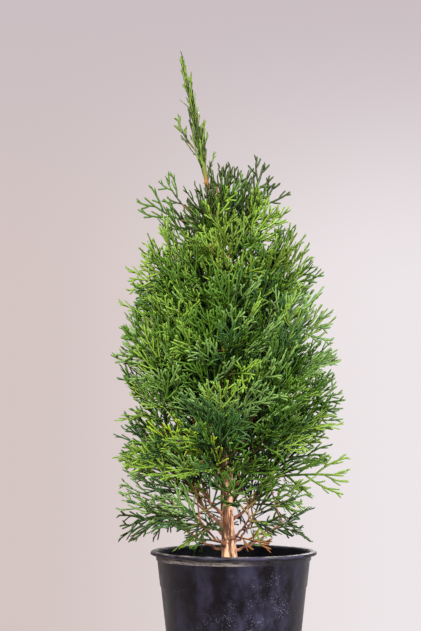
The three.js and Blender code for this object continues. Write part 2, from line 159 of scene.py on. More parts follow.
def trunk_at(height):
    """The trunk's centre at each height: a cubic through the points of its line."""
    height = np.asarray(height, float)
    line = TRUNK_LINE
    last = len(line) - 2
    k = np.clip(np.searchsorted(line[:, 0], height, side="left") - 1, 0, last)
    before, after = np.clip(k - 1, 0, last + 1), np.clip(k + 2, 0, last + 1)
    span = (line[k + 1, 0] - line[k, 0])[..., None]
    t = (height - line[k, 0])[..., None] / span
    start_slope = (line[k + 1] - line[before]) / (line[k + 1, 0] - line[before, 0])[..., None]
    end_slope = (line[after] - line[k]) / (line[after, 0] - line[k, 0])[..., None]
    point = (
        line[k] * (1 + 2 * t) * (1 - t) ** 2 + line[k + 1] * t * t * (3 - 2 * t)
        + start_slope * span * t * (1 - t) ** 2
        - end_slope * span * t * t * (1 - t)
    )
    return np.stack([point[..., 1], point[..., 2], height], -1)


def trunk_radius(height):
    share = (height - TRUNK_LINE[0, 0]) / (TRUNK_LINE[-1, 0] - TRUNK_LINE[0, 0])
    bare = mix(TRUNK.tip_radius, TRUNK.base_radius, np.maximum(1 - share, 0) ** TRUNK.taper)
    return bare + TRUNK.flare * np.exp((SOIL_TOP - height) / TRUNK.flare_height)


def crown_radius(height):
    height = np.asarray(height, float)
    down = (CROWN.widest - height) / (CROWN.widest - CROWN.foot)
    up = np.clip((height - CROWN.widest) / (CROWN.top - CROWN.widest), 0, 1)
    low = CROWN.radius * (1 - CROWN.foot_share * down * down)
    high = CROWN.radius * np.sqrt(1 - up**CROWN.top_power)
    return np.where(height < CROWN.widest, low, high)


def crown_axis(height):
    return mix(CROWN.lean[0], CROWN.lean[1], (height - CROWN.foot) / (CROWN.top - CROWN.foot))


def crown_point(turn, share, height):
    radius = crown_radius(height) * share
    return np.array([crown_axis(height) + math.cos(turn) * radius, math.sin(turn) * radius, height])


def bezier(points, t):
    t = np.asarray(t, float)[..., None]
    a, b, c = points
    return a * (1 - t) ** 2 + b * 2 * t * (1 - t) + c * t * t


def bent(points, t):
    """A point on two straight lengths that meet at a bend."""
    t = np.asarray(t, float)[..., None]
    a, b, c = points
    return np.where(t < 0.5, mix(a, b, 2 * t), mix(b, c, 2 * t - 1))


def plan_bough(tier, level, k):
    turn = math.radians(tier["turn"] + 360 * k / tier["count"])
    start = trunk_at(tier["attach"] + tier["step"] * ((k * 2) % tier["count"]))
    out = float(crown_radius(tier["centre"])) * BOUGH.end
    slope = math.radians(tier["slope"])
    end = start + direction(turn, slope) * out / math.cos(slope)
    reach = np.linalg.norm(end - start) / 2
    bend = start + direction(turn, slope - math.radians(BOUGH.sag)) * reach
    return Values(points=(start, bend, end), thin=1 - BOUGH.thinning * level)


def bough_radius(bough, t):
    return bough.thin * mix(BOUGH.base_radius, BOUGH.tip_radius, t)


def plan_mass(tier, level, k):
    bough = plan_bough(tier, level, k)
    has_bough = tier.get("bough", True)
    turn = math.radians(tier["turn"] + 360 * k / tier["count"])
    centre = tier["centre"] + tier["stagger"] * (1 if k % 2 else -1)
    along = unit(bough.points[2] - bough.points[1])
    start = bough.points[2] + along * CLEARANCE if has_bough else bough.points[0]
    end = crown_point(turn, STEM.end * tier["reach"][k], centre + STEM.lift)
    bend = start + along * np.linalg.norm(end - start) * STEM.bend
    return Values(
        name=f"sprays_{level + 1}_{k + 1}",
        bough_name=f"bough_{level + 1}_{k + 1}",
        bough=bough if has_bough else None,
        stem=(start, bend, end),
        site=crown_point(turn, CELL.site, centre),
        turn=turn,
        rise=[math.radians(a) for a in tier["rise"]],
        reach=tier["reach"][k],
        level=level,
        seed=101 + 17 * level + 7 * k,
        tips=None,
        placed=[],
    )


def plan_leader():
    top = TRUNK_LINE[-1, 0]
    for name, attach, tips in (("leader_tip", top, LEADER.tip), *LEADER.shoots):
        start = trunk_at(attach)
        tip = np.array(tips[0], float)
        if attach == top:
            start = start + unit(tip - start) * CLEARANCE
        end = mix(start, tip, LEADER.end)
        yield Values(
            name=name, bough=None, stem=(start, mix(start, end, 0.5), end),
            site=mix(start, tip, CELL.site), tips=[np.array(t, float) for t in tips],
            level=len(TIERS), seed=900, placed=[],
        )


masses = [
    plan_mass(tier, level, k) for level, tier in enumerate(TIERS) for k in range(tier["count"])
]
masses += list(plan_leader())
crown_masses = [mass for mass in masses if not mass.tips]

# Each mass keeps to its cell, the room that is nearer to its site than to any other's.
for mass in masses:
    others = np.array([other.site for other in masses if other is not mass])
    normals = others - mass.site
    normals[:, 2] *= CELL.squash
    mass.walls = unit(normals)
    mass.wall_offsets = (mass.walls * (others + mass.site) / 2).sum(1)

# Points along every limb, for sprays to keep clear of.
trunk_heights = np.arange(SOIL_TOP, TRUNK_LINE[-1, 0] - 1.99, 4)
limb_points = [trunk_at(trunk_heights)]
limb_radii = [trunk_radius(trunk_heights)]
for mass in masses:
    if mass.bough:
        steps = np.arange(0, 0.9701, 0.04)
        limb_points.append(bezier(mass.bough.points, steps))
        limb_radii.append(bough_radius(mass.bough, steps))
limb_points = np.concatenate(limb_points)
limb_radii = np.concatenate(limb_radii)

# ---- where the sprays stand


def spray_edge(length, half_width, sign, shift):
    """One toothed edge of a spray's blade, from its root up."""
    stalk = length * SPRAY.stalk
    spacing = (length - stalk) * SPRAY.shoots / SPRAY.pairs
    points = [(sign * SPRAY.root_width, 0)]
    for k in range(SPRAY.pairs):
        at = stalk + (k - 0.5 + shift) * spacing
        swell = math.sin(math.pi * (0.3 + 0.6 * (k + shift) / SPRAY.pairs)) ** 0.6
        reach = half_width * swell
        points.append((sign * (reach * SPRAY.rib if k else SPRAY.stalk_width), at))
        points.append((sign * reach, min(at + reach * SPRAY.lean + spacing * 0.5, length)))
    points.append((sign * half_width * SPRAY.rib / 2, length * SPRAY.neck))
    return points


def half_width_of(length, width):
    return min(length * width, SPRAY.widest)


def spray_outline(length, width=SPRAY.width):
    half_width = half_width_of(length, width)
    right = spray_edge(length, half_width, 1, SPRAY.skew)
    left = spray_edge(length, half_width, -1, 0)[::-1]
    return np.array([*right, (0, length), *left])


def frames_of(headings, rolls):
    """For each spray its axes as rows: across, along and out of its plane."""
    across = unit(np.cross(UP, headings))
    turned = across * np.cos(rolls)[:, None] + np.cross(headings, across) * np.sin(rolls)[:, None]
    return np.stack([turned, headings, np.cross(turned, headings)], 1)


def crown_share(points):
    """How far out each point is: 0 on the crown's axis, 1 at its surface."""
    out = np.hypot(points[..., 0] - crown_axis(points[..., 2]), points[..., 1])
    return out / crown_radius(points[..., 2])


def clear_of_pot(points):
    over_soil = np.hypot(points[..., 0], points[..., 1]) < POT_ROOM.inside
    over_soil &= points[..., 2] > SOIL_TOP + POT_ROOM.above_soil
    return (points[..., 2] > POT_HEIGHT + POT_ROOM.above_rim) | over_soil


def inside(points, mass, margin, share):
    """True where a point keeps to the mass's cell, the crown and the room over the pot."""
    in_cell = (points @ mass.walls.T - mass.wall_offsets < -margin).all(-1)
    return in_cell & (crown_share(points) <= mass.reach * share) & clear_of_pot(points)


def clear_of_limbs(roots, axes, length):
    """For each place, whether its blade keeps off the trunk and every bough."""
    clear = np.empty(len(roots), bool)
    for i, (root, frame_axes) in enumerate(zip(roots, axes)):
        local = (limb_points - root) @ frame_axes.T
        x = np.maximum(0, abs(local[:, 0]) - half_width_of(length, SPRAY.width))
        y = local[:, 1] - np.clip(local[:, 1], 0, length)
        far = np.sqrt(x * x + y * y + local[:, 2] ** 2)
        clear[i] = (far > limb_radii + SPRAY.thickness / 2 + SPRAY.limb_margin).all()
    return clear


def bones(length, width):
    """The starts and ends of the lines of a spray's stalk and teeth, in its own plane."""
    outline = spray_outline(length, width)
    tips = outline[abs(outline[:, 0]) > SPRAY.stalk_width * 3]
    feet = np.stack([np.zeros(len(tips)), tips[:, 1] - abs(tips[:, 0]) * SPRAY.lean], 1)
    return np.vstack([(0, length * 0.12), feet]), np.vstack([(0, length), tips])


def pierces(first, second):
    """True if one of the first spray's lines goes through the second's blade."""
    starts, ends = bones(first.length, first.width)
    a = (first.root + starts @ first.axes[:2] - second.root) @ second.axes.T
    b = (first.root + ends @ first.axes[:2] - second.root) @ second.axes.T
    through = a[:, 2] * b[:, 2] <= 0
    t = a[:, 2] / np.where(a[:, 2] == b[:, 2], 1, a[:, 2] - b[:, 2])
    x, y, _ = mix(a, b, t[:, None]).T
    on_blade = abs(x) < half_width_of(second.length, second.width)
    on_blade &= (y > second.length * 0.1) & (y < second.length)
    return bool((through & on_blade).any())


# What stays clear, as in the photo: a window before the trunk's foot, and a gap left of the leader.
WINDOW = Values(low=246, half_width=12, neck=266, neck_half_width=3, top=330)
LEADER_GAP = Values(left=-84, aside=6, low=670)

# A point halfway along each spray and one near its tip, which others keep away from.
NEAR_AND_FAR = np.array([[0.5], [0.95]])
placed_points = []


def keeps_clear(points):
    """True where a point is out of the window before the trunk and the gap by the leader."""
    height = points[..., 2]
    narrowed = np.clip((height - WINDOW.low) / (WINDOW.neck - WINDOW.low), 0, 1)
    half_width = mix(WINDOW.half_width, WINDOW.neck_half_width, narrowed)
    from_trunk = points[..., 0] - trunk_at(height)[..., 0]
    in_window = (abs(from_trunk) < half_width) & (height < WINDOW.top) & (points[..., 1] < 0)
    in_gap = (points[..., 0] > LEADER_GAP.left) & (from_trunk < -LEADER_GAP.aside)
    return ~in_window & ~(in_gap & (height > LEADER_GAP.low))


def outline_of(place):
    return place.root + spray_outline(place.length) @ place.axes[:2]


def tip_of(place):
    return place.root + place.axes[1] * place.length


def new_place(root, axes, length, width=SPRAY.width, kind=None):
    return Values(root=root, axes=axes, length=length, width=width, kind=kind, outer=False)


def random_places(mass, draw, kind):
    """Roots and axes for one more spray: on the mass's stem, or a finer one's on its bough too."""
    draws = np.array([draw() for _ in range(kind.candidates * 4)]).reshape(-1, 4)
    if kind is FINER and mass.bough:
        along = mix(FINER.low, STEM.sprays[1], draws[:, 0])
        on_bough = bezier(mass.bough.points, 1 + np.minimum(along, 0))
        on_stem = bent(mass.stem, np.maximum(along, 0))
        roots = np.where(along[:, None] < 0, on_bough, on_stem)
    else:
        roots = bent(mass.stem, mix(*STEM.sprays, draws[:, 0]))
    turns = mass.turn + math.radians(SPRAY.spread) * (draws[:, 1] - 0.5)
    headings = direction(turns, mix(*mass.rise, draws[:, 2]))
    return roots, frames_of(headings, np.radians(mix(*SPRAY.rolls, draws[:, 3])))


def choose_spray(mass, draw, kind=SPRAY, share=1):
    """The best of several random places for one more spray: the longest in the emptiest spot.

    A finer spray may reach into its neighbours' cells and cross others of its mass, but keeps
    to its share of the crown's radius and out of the places that stay clear.
    """
    roots, axes = random_places(mass, draw, kind)
    lengths = np.zeros(kind.candidates)
    length = SPRAY.longest
    while length > kind.shortest:
        left = np.flatnonzero(lengths == 0)
        points = roots[left, None] + spray_outline(length)[2:-2] @ axes[left, :2]
        fit = inside(points, mass, kind.margin, share).all(1)
        if kind is FINER:
            fit &= (keeps_clear(points) & (points > OUTER.low).all(-1)).all(1)
            lengths[left[fit]] = length
        else:
            left = left[fit]
            for i in left[clear_of_limbs(roots[left], axes[left], length)]:
                place = new_place(roots[i], axes[i], length)
                if not any(pierces(place, other) or pierces(other, place) for other in mass.placed):
                    lengths[i] = length
        length *= SPRAY.shrink
    fitting = np.flatnonzero(lengths)
    if not len(fitting):
        return None
    spans = axes[fitting, None, 1] * lengths[fitting, None, None] * NEAR_AND_FAR
    ends = roots[fitting, None] + spans
    gaps = np.linalg.norm(ends[:, :, None] - np.array(placed_points), axis=-1)
    apart = np.minimum(SPRAY.apart, gaps.min((1, 2)))
    outward = SPRAY.prefer_outer * crown_share(ends[:, 1])
    best = np.argmax(apart + SPRAY.prefer_long * lengths[fitting] + outward)
    placed_points.extend(ends[best])
    chosen = fitting[best]
    return new_place(roots[chosen], axes[chosen], lengths[chosen])


def spray_to(root, tip, roll, width=SPRAY.width, kind="open"):
    """A spray whose tip is given."""
    axes = frames_of(unit(tip - root)[None], np.radians([roll]))[0]
    return new_place(root, axes, np.linalg.norm(tip - root), width, kind)


def plan_sprays():
    """The CAD's own sprays, less the seeded ones that stand where the photo is clear."""
    for mass in masses:
        for name, share, tip, width in SINGLES:
            if name == mass.name:
                root = bent(mass.stem, share)
                place = spray_to(root, np.array(tip, float), SPRAY.facing, width)
                mass.placed.append(place)
                placed_points.extend(root + place.axes[1] * place.length * NEAR_AND_FAR)
        for k, tip in enumerate(mass.tips or ()):
            root = bent(mass.stem, LEADER.sprays[1] - LEADER.sprays[0] * k / len(mass.tips))
            kind = "wisp" if mass.name == "leader_tip" else "narrow"
            roll = LEADER.roll + LEADER.turn * k
            mass.placed.append(spray_to(root, tip, roll, LEADER.width, kind))
        if mass.tips:
            continue
        draw = random_from(mass.seed)
        for _ in range(SPRAY.count):
            place = choose_spray(mass, draw)
            if place:
                mass.placed.append(place)
    for mass in masses:
        mass.placed = [
            place for place in mass.placed if place.kind or keeps_clear(outline_of(place)).all()
        ]


# Sprays that fill between the CAD's own, and sprays that make the crown's surface. Each tier
# has its count and its lift, which is how far up the mass's range of angles its sprays start.
# A finer spray's root may be lower than its mass's stem, by a share of the bough.
FINER = Values(
    counts=(2, 9, 20, 19, 5), candidates=50, margin=-34, share=(0.5, 0.99), shortest=44,
    lift=(0.25, 0.25, 0.25, 0.3, 0.55), low=-0.6, turn=0.618, seed=5000,
)
OUTER = Values(
    counts=(3, 6, 7, 7, 3), candidates=24, share=(0.86, 1.02), rolls=(-50, 50), spread=110,
    roots=(0.1, 1), step=4, shortest=46, longest=112, lift=(0, 0, 0, 0.1, 0.45), seed=7000,
    low=(-160, -145, 0), high=(154, 150, 692),
)

# Each tier's reach as a share of the crown's radius, and how much further it is to the right.
TIER_REACH = ((0.92, -0.15), (0.98, -0.03), (1, 0.06), (1, 0.05), (1, 0))

# Sprays that stand out in the photo: the mass, the share of its stem, the tip and the roll.
STRAYS = (
    ("sprays_2_5", 0.9, (137, -14, 386), 84),
    ("sprays_2_5", 1, (138, -4, 414), 84),
    ("sprays_3_5", 0.9, (139, 6, 452), 84),
    ("sprays_3_4", 0.9, (128, -25, 500), 84),
    ("sprays_1_3", 0.6, (-24, -62, 282), 84),
    ("sprays_1_2", 0.6, (20, -58, 272), 84),
    ("sprays_2_3", 0.45, (-12, -106, 364), 0),
    ("sprays_2_3", 0.3, (-64, -100, 342), 40),
    ("sprays_2_3", 0.2, (12, -98, 330), -30),
)


def share_of_crown(mass, share):
    """How far out a spray may reach: low ones further to the left, middle ones to the right."""
    reach, lean = TIER_REACH[mass.level]
    return share * (reach + lean * math.cos(mass.turn))


def choose_outer_spray(mass, draw):
    """A spray whose tip is at the crown's surface, its flat side mostly turned outward."""
    best, best_score = None, 0
    for _ in range(OUTER.candidates):
        turn = mass.turn + math.radians(OUTER.spread) * (draw() - 0.5)
        heading = direction(turn, mix(*mass.rise, mix(OUTER.lift[mass.level], 1, draw())))
        root = bent(mass.stem, mix(*OUTER.roots, draw()))
        roll = mix(*OUTER.rolls, draw())
        share = share_of_crown(mass, mix(*OUTER.share, draw()))
        length = OUTER.shortest
        while length < OUTER.longest and crown_share(root + heading * length) < share:
            length += OUTER.step
        place = spray_to(root, root + heading * length, roll)
        points = outline_of(place)
        in_box = ((points > OUTER.low) & (points < OUTER.high)).all(1)
        if not (clear_of_pot(points) & keeps_clear(points) & in_box).all():
            continue
        ends = root + heading * length * NEAR_AND_FAR
        gaps = np.linalg.norm(ends[:, None] - np.array(placed_points), axis=-1)
        score = gaps.min() + SPRAY.prefer_outer * crown_share(ends[1])
        if score > best_score:
            best, best_score, best_ends = place, score, ends
    if best:
        placed_points.extend(best_ends)
        best.kind = "open" if mass.level == 0 else "fan"
        best.outer = True
    return best


def plan_outer_sprays():
    for mass in crown_masses:
        for name, share, tip, roll in STRAYS:
            if name == mass.name:
                place = spray_to(bent(mass.stem, share), np.array(tip, float), roll)
                mass.placed.append(place)
        draw = random_from(mass.seed + OUTER.seed)
        for _ in range(OUTER.counts[mass.level]):
            place = choose_outer_spray(mass, draw)
            if place:
                mass.placed.append(place)


def plan_finer_sprays():
    """More sprays on each bough and stem, closer to their neighbours than the CAD's are."""
    for mass in crown_masses:
        draw = random_from(mass.seed + FINER.seed)
        mass.rise[0] = mix(*mass.rise, FINER.lift[mass.level])
        for k in range(FINER.counts[mass.level]):
            share = share_of_crown(mass, mix(*FINER.share, (k * FINER.turn) % 1))
            place = choose_spray(mass, draw, FINER, share)
            if place:
                mass.placed.append(place)


# ---- spray templates

# The branchlets: the length of their steps, the height of their ridge as a share of their width,
# how knobbly and blunt they are, and how far up a shoot its last side shoot may start.
LEAF = Values(step=5.2, height=0.5, knob=0.08, blunt=0.6, last=0.85, last_shoot=0.93)

# How a kind of spray branches: where side shoots start, the gap between them and their angle,
# each for the main shoot and then its side shoots, and how many orders of side shoots it has.
FAN = Values(
    first=(0.18, 0.26), gap=(10, 9.6), angles=(50, 32), side_angle=36,
    longest_side=18, orders=2, curl=26, width=2.6,
)
OPEN = Values(
    first=(0.26, 0.3), gap=(12.5, 10.5), angles=(50, 32), side_angle=36,
    longest_side=16, orders=2, curl=24, width=2.6,
)
NARROW = Values(
    first=(0.16, 0.4), gap=(10, 8), angles=(28, 20), side_angle=20,
    longest_side=9, orders=2, curl=6, width=2.4,
)
WISP = Values(
    first=(0.2,), gap=(12,), angles=(20, 14), side_angle=18,
    longest_side=8, orders=1, curl=4, width=2.4,
)


def shoot_path(start, heading, bend, length, slope):
    """One shoot's points in its spray's plane: it turns by bend and leaves the plane by slope."""
    steps = max(2, round(length / LEAF.step))
    turns = heading + bend * (np.arange(steps) + 0.5) / steps
    moves = np.stack([np.sin(turns), np.cos(turns), np.full(steps, slope)], 1) * length / steps
    return np.vstack([start, start + np.cumsum(moves, 0)]), turns


# How side shoots fill a spray: a swelling outline along the main shoot, and along its side
# shoots a taper to a stub.
FULL = Values(foot=0.22, span=0.6, power=0.7, least=8, past_end=0.03, taper=0.62, stub=4)


def side_length(style, order, length, share, half_width, angle):
    """The length of the side shoot that leaves a shoot at a share of its length."""
    left = length * (1 - share)
    if order:
        return min(style.longest_side, FULL.taper * left + FULL.stub)
    swell = math.sin(math.pi * (FULL.foot + FULL.span * share)) ** FULL.power
    reach = max(half_width * swell / math.sin(angle), FULL.least)
    return min(reach, (left + FULL.past_end * length) / math.cos(angle))


# How shoots vary: each pair is the least and the most of a random factor.
VARIED = Values(angle=(0.85, 1.15), length=(0.82, 1.12), gap=(0.8, 1.2), curl=0.7, tilt=0.15)


def grow_shoot(shoots, style, order, start, heading, length, slope, half_width, draw):
    """Adds a shoot and all its side shoots, which leave it on alternate sides."""
    bend = math.radians(style.curl) * (draw() - 0.5) * 2 * VARIED.curl
    if order and heading:
        bend -= math.copysign(math.radians(style.curl), heading)
    path, turns = shoot_path(start, heading, bend, length, slope)
    shoots.append((path, order))
    if order >= style.orders:
        return
    side = 1 if draw() < 0.5 else -1
    at = style.first[order] * length
    while at < length * LEAF.last_shoot:
        share = at / length
        angle = mix(*style.angles, share) if order == 0 else style.side_angle
        angle = math.radians(angle) * mix(*VARIED.angle, draw())
        reach = side_length(style, order, length, share, half_width, angle)
        reach *= mix(*VARIED.length, draw())
        along = share * (len(path) - 1)
        foot = mix(path[int(along)], path[int(along) + 1], along % 1)
        way = turns[int(along)] + side * angle
        child_slope = slope + VARIED.tilt * 2 * (draw() - 0.5)
        grow_shoot(shoots, style, order + 1, foot, way, reach, child_slope, half_width, draw)
        at += style.gap[order] * mix(*VARIED.gap, draw())
        side = -side


def join_meshes(parts):
    """Joins (points, faces) pairs into one pair."""
    points, faces, count = [], [], 0
    for part_points, part_faces in parts:
        points.append(part_points)
        faces.append(part_faces + count)
        count += len(part_points)
    return np.vstack(points), np.vstack(faces)


def strip(path, width, flip):
    """A closed three-sided strip along a path, knobbly as the scale leaves make it."""
    along = unit(np.gradient(path, axis=0))
    side = unit(np.stack([along[:, 1], -along[:, 0], np.zeros(len(path))], 1))[:-1]
    body = path[:-1].copy()
    body[-1] = mix(path[-2], path[-1], LEAF.blunt)
    half = width / 2 * (1 + LEAF.knob * (-1.0) ** np.arange(len(body)))
    half[-1] *= LEAF.last
    lift = width * LEAF.height * flip * UP
    low = body - lift / 3
    rings = np.stack([
        low - side * half[:, None],
        body + lift * 2 / 3,
        low + side * half[:, None],
    ], 1)
    points = np.vstack([rings.reshape(-1, 3), path[-1:]])
    first = np.arange(0, 3 * len(body) - 3, 3)
    last = 3 * len(body) - 3
    faces = []
    for a, b in ((0, 1), (1, 2), (2, 0)):
        faces.append(np.stack([first + a, first + b, first + b + 3], 1))
        faces.append(np.stack([first + a, first + b + 3, first + a + 3], 1))
        faces.append([[last + a, last + b, last + 3]])
    faces = np.vstack([*faces, [[0, 2, 1]]])
    return points, faces if flip > 0 else faces[:, ::-1]


# How thick shoots are beside their kind's width, and how much of the main shoot's foot is woody.
THICKNESS = Values(main=1.05, per_order=0.06, varied=(0.92, 1.08), woody_foot=1.1)
WOODY_ORDER = -1


def make_template(style, length, width, seed):
    """One grown spray, flat, as a mesh whose faces know their order and how far along they are."""
    draw = random_from(seed)
    half_width = half_width_of(length, width)
    shoots = []
    grow_shoot(shoots, style, 0, np.zeros(3), 0.0, length, 0.0, half_width, draw)
    strips, orders = [], []
    for path, order in shoots:
        thick = style.width * (THICKNESS.main - THICKNESS.per_order * order)
        thick *= mix(*THICKNESS.varied, draw())
        strips.append(strip(path, thick, 1 if draw() < 0.5 else -1))
        orders.append(np.full(len(strips[-1][1]), order))
    points, faces = join_meshes(strips)
    orders = np.concatenate(orders)
    shares = points[faces].mean(1)[:, 1] / length
    orders[(orders == 0) & (shares < style.first[0] * THICKNESS.woody_foot)] = WOODY_ORDER
    return Values(points=points, faces=faces, orders=orders, shares=shares, length=length)


def make_templates():
    kinds = {}
    for name, style, lengths, width, copies in (
        ("fan", FAN, (48, 62, 80, 102), SPRAY.width, 5),
        ("open", OPEN, (48, 62, 80, 102), SPRAY.width, 5),
        ("narrow", NARROW, (50, 76), LEADER.width * 0.85, 4),
        ("wisp", WISP, (50, 76), LEADER.width * 0.45, 4),
    ):
        kinds[name] = [
            make_template(style, length, width, 40 + 10 * i + k)
            for i, length in enumerate(lengths)
            for k in range(copies)
        ]
    return kinds


templates = make_templates()

# ---- mesh pieces


def srgb(red, green, blue):
    """A colour written as a screen shows it, 0 to 255, turned linear, with its alpha."""
    shares = [channel / 255 for channel in (red, green, blue)]
    linear = [c / 12.92 if c <= 0.04045 else ((c + 0.055) / 1.055) ** 2.4 for c in shares]
    return [*linear, 1]


def add_object(name, data):
    made = bpy.data.objects.new(name, data)
    bpy.context.collection.objects.link(made)
    return made


def mesh_piece(name, points, faces, materials, material_of=None, smooth=True):
    """A mesh object of triangles from points in millimetres."""
    mesh = bpy.data.meshes.new(name)
    mesh.from_pydata(points * MM, [], faces)
    for material in materials:
        mesh.materials.append(material)
    if material_of is not None:
        mesh.polygons.foreach_set("material_index", material_of.astype(np.int32))
    mesh.polygons.foreach_set("use_smooth", np.full(len(faces), smooth))
    mesh.update()
    return add_object(name, mesh)


def hand_over(piece, nodes):
    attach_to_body(piece, "root")
    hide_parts(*nodes)


# ---- materials

LEAF_COLOURS = {
    "stalk": (96, 84, 40),
    # A near-black green that paints the shade inside the crown, on sprays deep in it and on many
    # sprays' inner shoots.
    "deep": (20, 38, 6),
    "mid": (56, 86, 16),
    "fresh": (96, 124, 38),
    "blue": (42, 72, 30),
    # A paler, bluer green on some tips, a painted sheen.
    "pale": (88, 116, 56),
    "yellow": (118, 142, 32),
    "olive": (76, 98, 24),
    # A dark green that paints shade on sprays at the top, on the shoulder, at the foot and on the
    # leader.
    "dusk": (42, 56, 16),
    "rust": (110, 70, 36),
}
WOODY = ("stalk", "rust")


def principled(name, colour, roughness, specular):
    material = bpy.data.materials.new(name)
    material.use_nodes = True
    shader = material.node_tree.nodes["Principled BSDF"]
    shader.inputs["Base Color"].default_value = colour
    shader.inputs["Roughness"].default_value = roughness
    shader.inputs["Specular IOR Level"].default_value = specular
    return material, shader


class Nodes:
    """Short names for the few nodes that the patterned materials and the backdrop use."""

    def __init__(self, owner, place="Object"):
        self.tree = owner.node_tree
        self.place = self.tree.nodes.new("ShaderNodeTexCoord").outputs[place]

    def feed(self, socket, value):
        """Gives a socket a value, or links it to the socket that makes the value."""
        if isinstance(value, bpy.types.NodeSocket):
            self.tree.links.new(value, socket)
        else:
            socket.default_value = value

    def add(self, kind, inputs, **settings):
        node = self.tree.nodes.new(kind)
        for key, value in settings.items():
            setattr(node, key, value)
        for key, value in inputs.items():
            self.feed(node.inputs[key], value)
        return node

    def stretched(self, scale):
        node = self.add("ShaderNodeMapping", {"Vector": self.place, "Scale": scale})
        return node.outputs["Vector"]

    def noise(self, scale, stretch=(1, 1, 1), detail=4, roughness=0.6):
        vector = self.stretched(stretch)
        inputs = {"Vector": vector, "Scale": scale, "Detail": detail, "Roughness": roughness}
        return self.add("ShaderNodeTexNoise", inputs).outputs["Fac"]

    def axis(self, name):
        return self.add("ShaderNodeSeparateXYZ", {"Vector": self.place}).outputs[name]

    def ranged(self, value, low, high, to_low=0.0, to_high=1.0):
        node = self.add("ShaderNodeMapRange", {
            "Value": value, "From Min": low, "From Max": high,
            "To Min": to_low, "To Max": to_high,
        }, interpolation_type="SMOOTHSTEP")
        return node.outputs["Result"]

    def times(self, first, second):
        node = self.add("ShaderNodeMath", {0: first, 1: second}, operation="MULTIPLY")
        return node.outputs["Value"]

    def blend(self, factor, first, second):
        """The mix of two colours, whose sockets are the node's sixth and seventh."""
        node = self.add("ShaderNodeMix", {0: factor, 6: first, 7: second}, data_type="RGBA")
        return node.outputs[2]

    def bump(self, height, strength, distance):
        inputs = {"Height": height, "Strength": strength, "Distance": distance}
        return self.add("ShaderNodeBump", inputs).outputs["Normal"]


GREEN_BARK = (78, 86, 34)
GREEN_FROM = (0.68, 0.71)  # the heights in metres between which the bark turns green


def greened(nodes, colour):
    """The colour with the green of the plant's young top blended in above."""
    return nodes.blend(nodes.ranged(nodes.axis("Z"), *GREEN_FROM), colour, srgb(*GREEN_BARK))


def bark_material():
    """Fibrous bark: tan below, with grey-brown strips, and orange-brown where it is young."""
    material, shader = principled("bark_fibrous", srgb(160, 124, 98), 0.85, 0.2)
    nodes = Nodes(material)
    strips = nodes.noise(170, (1, 1, 0.12), 6, 0.65)
    flecks = nodes.noise(150, (1, 1, 0.45), 5, 0.75)
    patches = nodes.noise(42, (1, 1, 0.5), 3)
    base = nodes.blend(nodes.ranged(strips, 0.4, 0.58), srgb(68, 42, 28), srgb(222, 172, 137))
    base = nodes.blend(nodes.ranged(patches, 0.5, 0.68, 0, 0.6), base, srgb(140, 92, 64))
    base = nodes.blend(nodes.ranged(flecks, 0.54, 0.64, 0, 0.85), base, srgb(64, 38, 24))
    young = nodes.blend(nodes.ranged(strips, 0.4, 0.6), srgb(96, 50, 24), srgb(142, 80, 42))
    colour = nodes.blend(nodes.ranged(nodes.axis("Z"), 0.36, 0.6), base, young)
    nodes.feed(shader.inputs["Base Color"], greened(nodes, colour))
    nodes.feed(shader.inputs["Normal"], nodes.bump(strips, 0.5, 0.0008))
    return material


def young_bark(name, dark, light):
    material, shader = principled(name, srgb(*light), 0.7, 0.3)
    nodes = Nodes(material)
    grain = nodes.noise(120, (1, 1, 0.4), 3)
    colour = nodes.blend(nodes.ranged(grain, 0.35, 0.65), srgb(*dark), srgb(*light))
    nodes.feed(shader.inputs["Base Color"], greened(nodes, colour))
    return material


# The light grey of the collar's scuffs, which on the lip's top edge also paints a highlight.
SCUFF_AND_HIGHLIGHT = (104, 98, 94)


SCUFF_AND_HIGHLIGHT = (104, 98, 94)


